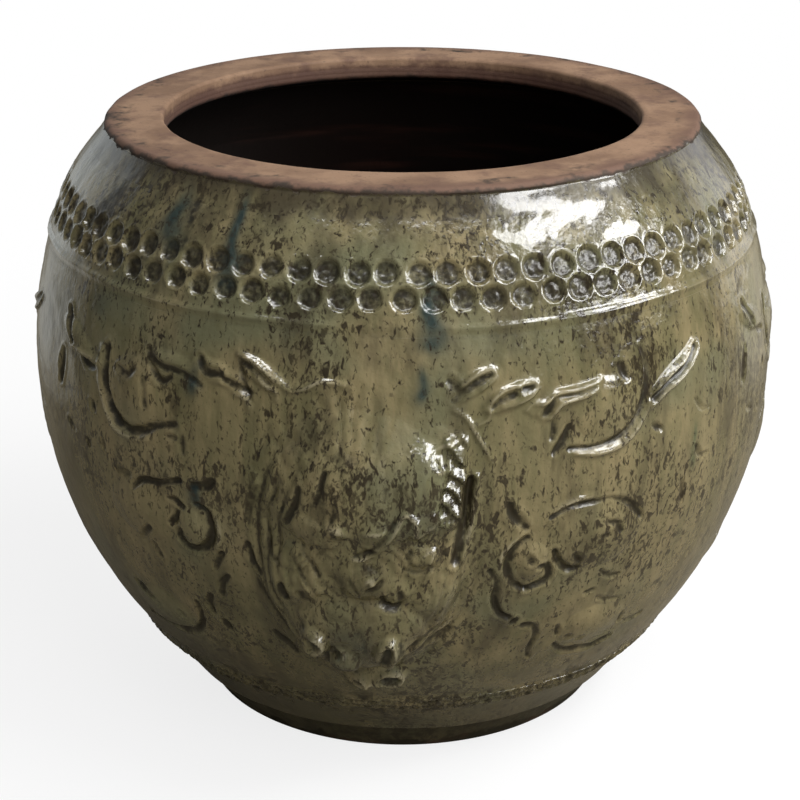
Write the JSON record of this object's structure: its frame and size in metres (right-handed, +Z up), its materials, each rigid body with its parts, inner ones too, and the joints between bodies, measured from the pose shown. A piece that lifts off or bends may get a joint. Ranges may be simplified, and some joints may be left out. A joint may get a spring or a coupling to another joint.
{
  "type": "martaban jar",
  "caption": "Squat wide-mouthed glazed stoneware jar with a heavy flat lip, rows of finger dimples round the shoulder, relief masks and scrolls round the belly and a narrow foot",
  "frame": {"origin": "middle of the flat underside, on the surface that the jar stands on", "axes": "+Z up along the jar's axis, -Y towards the middle of the front mask, +X to its right"},
  "size_m": [0.4227, 0.4399, 0.339],
  "materials": {
    "olive_glaze": "glossy runny olive-brown ash glaze with dark flecks",
    "bare_clay": "matt unglazed tan stoneware",
    "dark_foot": "matt dark fired clay"
  },
  "bodies": {
    "root": {"base_disc": "dark_foot", "foot_ring": "dark_foot", "rim": "bare_clay", "lower_wall": "olive_glaze", "lower_stamped_band": "olive_glaze", "belly_lower_wall": "olive_glaze", "belly_upper_wall": "olive_glaze", "shoulder_cordon": "olive_glaze", "shoulder_wall": "olive_glaze", "dimpled_band": "olive_glaze", "mask_faces": "olive_glaze", "mask_foreheads": "olive_glaze", "mask_brows": "olive_glaze", "mask_eyes": "olive_glaze", "mask_noses": "olive_glaze", "mask_muzzles": "olive_glaze", "mask_teeth": "olive_glaze", "mask_chin_lips": "olive_glaze", "mask_ears": "olive_glaze", "mask_locks": "olive_glaze", "scroll_leaves": "olive_glaze", "scroll_tails": "olive_glaze", "scroll_curls": "olive_glaze", "scroll_cheeks": "olive_glaze", "scroll_lower_leaves": "olive_glaze"}
  },
  "joints": []
}
